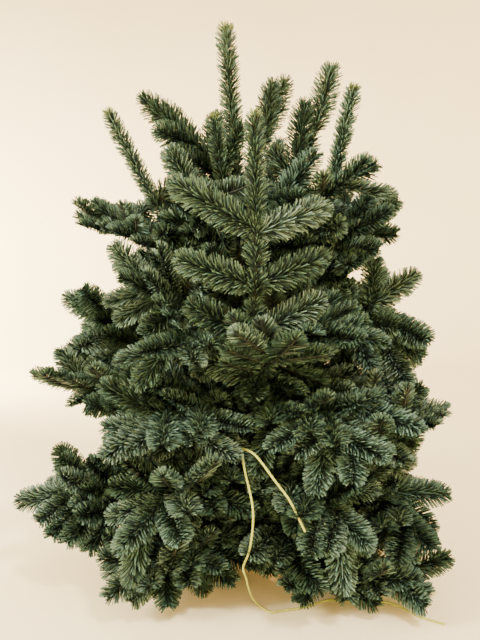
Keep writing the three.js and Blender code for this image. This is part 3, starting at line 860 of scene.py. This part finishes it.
INNER_SHADE_CHANCES = np.array([-0.3, -0.2, 0.2, 0.3])  # added to them, most of all at the trunk
STEM_NEEDLES = {"per_mm": 3.2, "half": (12, 20), "piece": 45, "past_limb": 8, "past_trunk": 30, "overlap": 6}
SHORTEST_STEM = 10  # what is left of a stem gets no needles of its own

for region, names in REGIONS.items():
    draws = np.random.default_rng(len(region) * 7 + ord(region[0]))
    owners = [index for index, bough in enumerate(boughs) if bough["name"] in names]
    parts = []
    for shoot in shoots:
        if shoot["owner"] not in owners:
            continue
        inner = 1 - min(1, np.hypot(*shoot["base"][:2]) / INNER_SHADE["radius"])
        # the whole crown is darkened like the inside of the tree, a painted shade
        if region == "crown":
            inner = max(inner, INNER_SHADE["crown"])
        chances = OUTER_CHANCES + INNER_SHADE_CHANCES * inner
        shade = draws.choice(len(chances), p=chances / sum(chances))
        parts.append(grow_needles(shoot, shade, draws, NEEDLE["per_mm"]))
    for index in owners:
        bough = boughs[index]
        start = bough["bare"] + STEM_NEEDLES["past_limb"] if bough["bare"] else STEM_NEEDLES["past_trunk"]
        end = bough["length"] - tips[index]["length"] + STEM_NEEDLES["overlap"]
        # the needles along the stems, deep inside the bough, take only the darker greens, a painted shade
        shade = draws.choice([MID, DEEP])
        while start < end - SHORTEST_STEM:
            length = min(STEM_NEEDLES["piece"], end - start)
            along, _, over = axes_on(bough, start + length / 2)
            half = np.interp(start + length / 2, [0, end], STEM_NEEDLES["half"])
            stem = {"base": point_on(bough, start), "along": along, "over": over, "length": length}
            stem = {**stem, "half": half, "kind": BROAD, "brush": True}
            parts.append(grow_needles(stem, shade, draws, STEM_NEEDLES["per_mm"]))
            start += length
    if region == "crown":
        along, over = unit(leader_point(1) - leader_point(0)), np.array([1.0, 0, 0])
        leader = {"base": leader_point(0), "along": along, "over": over, "length": LEADER["length"]}
        leader = {**leader, "half": LEADER["half"], "kind": SLIM, "brush": True}
        parts.append(grow_needles(leader, MID, draws, NEEDLE["per_mm"]))
    shades = np.concatenate([part[2] for part in parts])
    tones = np.concatenate([part[3] for part in parts])
    piece = new_piece(f"needles_{region}", *joined([part[:2] for part in parts]), SHADES, shades)
    painted_light_and_tone = piece.data.attributes.new("painted_light_and_tone", "FLOAT", "POINT")
    painted_light_and_tone.data.foreach_set("value", tones.astype(np.float32))
    foliage = [f"{name}_foliage" for name in names] + (["leader_foliage"] if region == "crown" else [])
    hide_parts(*foliage)


# ---------------------------------------------------------------- stand
# Two planed softwood boards, half-lapped into a cross, with a turned ring on top that holds the
# trunk. The edges are eased with sandpaper, and the wood is left bare.

def bare_softwood():
    """Planed spruce: pale yellow-brown, satin, with darker late wood along the board."""
    wood = new_material("bare_softwood")
    place = add_node(wood, "ShaderNodeTexCoord").outputs["Object"]
    grain_spacing, drawn_out = 5 * MM, 0.12
    turned = add_node(
        wood,
        "ShaderNodeMapping",
        inputs={"Vector": place, "Rotation": (0, 0, math.radians(45)), "Scale": (drawn_out, 1, 1)},
    )
    grain = add_node(
        wood,
        "ShaderNodeTexNoise",
        inputs={
            "Vector": turned.outputs["Vector"],
            "Scale": 1 / grain_spacing,
            "Detail": 5.0,
            "Distortion": 0.6,
        },
    )
    steps = [(0.3, "#c2a983"), (0.5, "#d8c3a0"), (0.7, "#e2d1b2")]
    colour = colour_steps(wood, grain.outputs["Fac"], steps)
    relief = add_node(
        wood,
        "ShaderNodeBump",
        inputs={"Strength": 0.15, "Distance": 0.3 * MM, "Height": grain.outputs["Fac"]},
    )
    return finish_material(
        wood, {"Base Color": colour, "Roughness": 0.55, "Normal": relief.outputs["Normal"]}
    )


SOFTWOOD = bare_softwood()
EASED_EDGE = {"width": 1.5, "steps": 2, "sharper_than": 40}
for node in ("stand_board_lower", "stand_board_upper", "stand_collar"):
    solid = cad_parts[node]
    eased = bpy.data.objects.new(node.replace("stand_", "cross_"), solid.data.copy())
    bpy.context.collection.objects.link(eased)
    eased.data.materials.clear()
    eased.data.materials.append(SOFTWOOD)
    bevel = eased.modifiers.new("eased edges", "BEVEL")
    bevel.width, bevel.segments = EASED_EDGE["width"] * MM, EASED_EDGE["steps"]
    bevel.limit_method, bevel.angle_limit = "ANGLE", math.radians(EASED_EDGE["sharper_than"])
    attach(eased, "root")
    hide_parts(node)


# ---------------------------------------------------------------- twine
# A length of two-ply yellow-green twine, left tied round the limb of the front spire. One end lies
# over the needles, and the other hangs to the floor and runs out across it.

def green_twine():
    """Yellow-green dyed jute, two plies twisted, matt and slightly hairy."""
    jute = new_material("green_twine")
    place = add_node(jute, "ShaderNodeTexCoord").outputs["Object"]
    fibre_size = 1.2 * MM  # far coarser than real fibres, so that they show
    fibres = add_node(
        jute,
        "ShaderNodeTexNoise",
        inputs={"Vector": place, "Scale": 1 / fibre_size, "Detail": 3.0},
    )
    colour = colour_steps(jute, fibres.outputs["Fac"], [(0.35, "#9ea63e"), (0.65, "#c8d16c")])
    return finish_material(jute, {"Base Color": colour, "Roughness": 0.8})


TWINE = {"radius": 1.8, "core": 0.72, "ply": 0.28, "lay": 7.0, "step": 1.5, "sides": 10, "off_floor": 0.1}
TWINE_RUNS = {
    "hanging": (
        (2, -58, 262), (-9, -62, 252), (-6, -100, 247), (2, -150, 262), (7, -200, 247), (19, -217, 193),
        (15, -212, 133), (5, -200, 95), (9, -180, 66), (14, -168, 38), (19, -158, 18), (27, -156, 6),
        (39, -166, 2.3), (51, -173, 2.3), (66, -169, 2.3), (97, -163, 2.3), (125, -151, 2.3),
        (148, -143, 2.3), (179, -144, 2.3), (210, -148, 2.3), (240, -149, 2.3), (259, -160, 2.3),
        (278, -181, 2.3), (315, -201, 2.3),
    ),
    "lying": (
        (14, -62, 252), (4, -100, 250), (0, -150, 264), (22, -200, 271), (50, -228, 243), (71, -238, 217),
        (92, -246, 176),
    ),
}


def smooth_line(corners, step):
    """A smooth line through the corners, as points a step apart."""
    corners = np.array([corners[0], *corners, corners[-1]], float)
    line = []
    for a, b, c, d in zip(corners, corners[1:], corners[2:], corners[3:]):
        t = np.linspace(0, 1, max(2, int(np.linalg.norm(c - b) / step)), endpoint=False)[:, None]
        squared, cubed = (2 * a - 5 * b + 4 * c - d) * t**2, (3 * b - a - 3 * c + d) * t**3
        line.append(0.5 * (2 * b + (c - a) * t + squared + cubed))
    return np.vstack([*line, corners[-1:]])


runs = []
for corners in TWINE_RUNS.values():
    line = smooth_line(corners, TWINE["step"])
    line[:, 2] = np.maximum(line[:, 2], TWINE["radius"] + TWINE["off_floor"])
    heading = unit(np.gradient(line, axis=0))
    across = [unit(np.cross(heading[0], [0.3, 0.2, 1]))]
    for step in heading[1:]:
        across.append(unit(across[-1] - step * across[-1].dot(step)))
    across = np.array(across)
    way = np.arange(len(line)) * TWINE["step"]
    turns = np.arange(TWINE["sides"]) * 2 * math.pi / TWINE["sides"]
    plies = np.abs(np.cos(turns[None, :] - way[:, None] * math.pi / TWINE["lay"]))
    radii = TWINE["radius"] * (TWINE["core"] + TWINE["ply"] * plies)
    runs.append(tube(line, across, np.cross(heading, across), radii, TWINE["sides"]))
new_piece("twine", *joined(runs), [green_twine()], smooth=True)


# ---------------------------------------------------------------- floor and light
# A plain pale cove that runs all round, and soft light from high in front and from the left.

COVE = {"floor": 2.1, "wall": 2.7, "height": 3.2, "sides": 96, "bend_rings": 12}


def matt_paint():
    """Plain matt wall paint, in a warm off-white."""
    paint = new_material("matt_paint")
    place = add_node(paint, "ShaderNodeTexCoord").outputs["Object"]
    patches_per_metre = 1.5
    drift = add_node(
        paint,
        "ShaderNodeTexNoise",
        inputs={"Vector": place, "Scale": patches_per_metre, "Detail": 1.0},
    )
    colour = colour_steps(paint, drift.outputs["Fac"], [(0.3, "#f8e9bd"), (0.7, "#fbeecb")])
    return finish_material(paint, {"Base Color": colour, "Roughness": 0.9})


bend = COVE["wall"] - COVE["floor"]
turns = np.linspace(0.1, math.pi / 2, COVE["bend_rings"])
bend_profile = [(COVE["floor"] + bend * math.sin(a), bend * (1 - math.cos(a))) for a in turns]
profile = [(0.0, 0.0), (COVE["floor"], 0.0), *bend_profile, (COVE["wall"], COVE["height"])]
rings, radii = np.array([(0, 0, z) for _, z in profile]), [r for r, _ in profile]
cove_points, cove_quads = tube(rings, *level_axes(len(rings)), radii, COVE["sides"])
cove_mesh = bpy.data.meshes.new("cove")
cove_mesh.from_pydata(cove_points.tolist(), [], cove_quads.tolist())
cove_mesh.materials.append(matt_paint())
cove_mesh.polygons.foreach_set("use_smooth", np.full(len(cove_mesh.polygons), True))
cove = bpy.data.objects.new("cove", cove_mesh)
bpy.context.collection.objects.link(cove)


def soft_light(name, place, aim, size, watts, colour):
    """A square soft box at a place in metres, turned to face its aim."""
    light = bpy.data.objects.new(name, bpy.data.lights.new(name, "AREA"))
    bpy.context.collection.objects.link(light)
    light.data.size, light.data.energy, light.data.color = size, watts, hex_colour(colour)[:3]
    light.location = place
    towards = np.array(aim) - np.array(place)
    light.rotation_euler = (
        math.atan2(math.hypot(towards[0], towards[1]), -towards[2]),
        0,
        math.atan2(towards[0], -towards[1]) + math.pi,
    )
    light.visible_camera = False


soft_light("key", (0.7, -1.2, 2.3), aim=(0, 0, 0.45), size=0.25, watts=68, colour="#fff4e6")
soft_light("fill", (-1.9, -0.8, 1.2), aim=(0, 0, 0.4), size=0.6, watts=115, colour="#fff6e0")
soft_light("top", (0.0, 0.3, 2.6), aim=(0, 0, 0.3), size=1.6, watts=36, colour="#fffaf2")

# Two more for the cove behind the tree, far brighter on the left.
soft_light("wash_left", (-1.5, 1.0, 0.8), aim=(-1.0, 2.7, 0.6), size=0.6, watts=120, colour="#fff3d8")
soft_light("wash_right", (1.5, 0.9, 1.2), aim=(0.8, 2.7, 1.5), size=0.8, watts=8, colour="#fff6ea")

# The even light of a pale room.
world = bpy.data.worlds.new("pale_sky")
bpy.context.scene.world = world
world.use_nodes = True
sky = world.node_tree.nodes["Background"]
sky.inputs["Color"].default_value = hex_colour("#efe8de")
sky.inputs["Strength"].default_value = 1.15
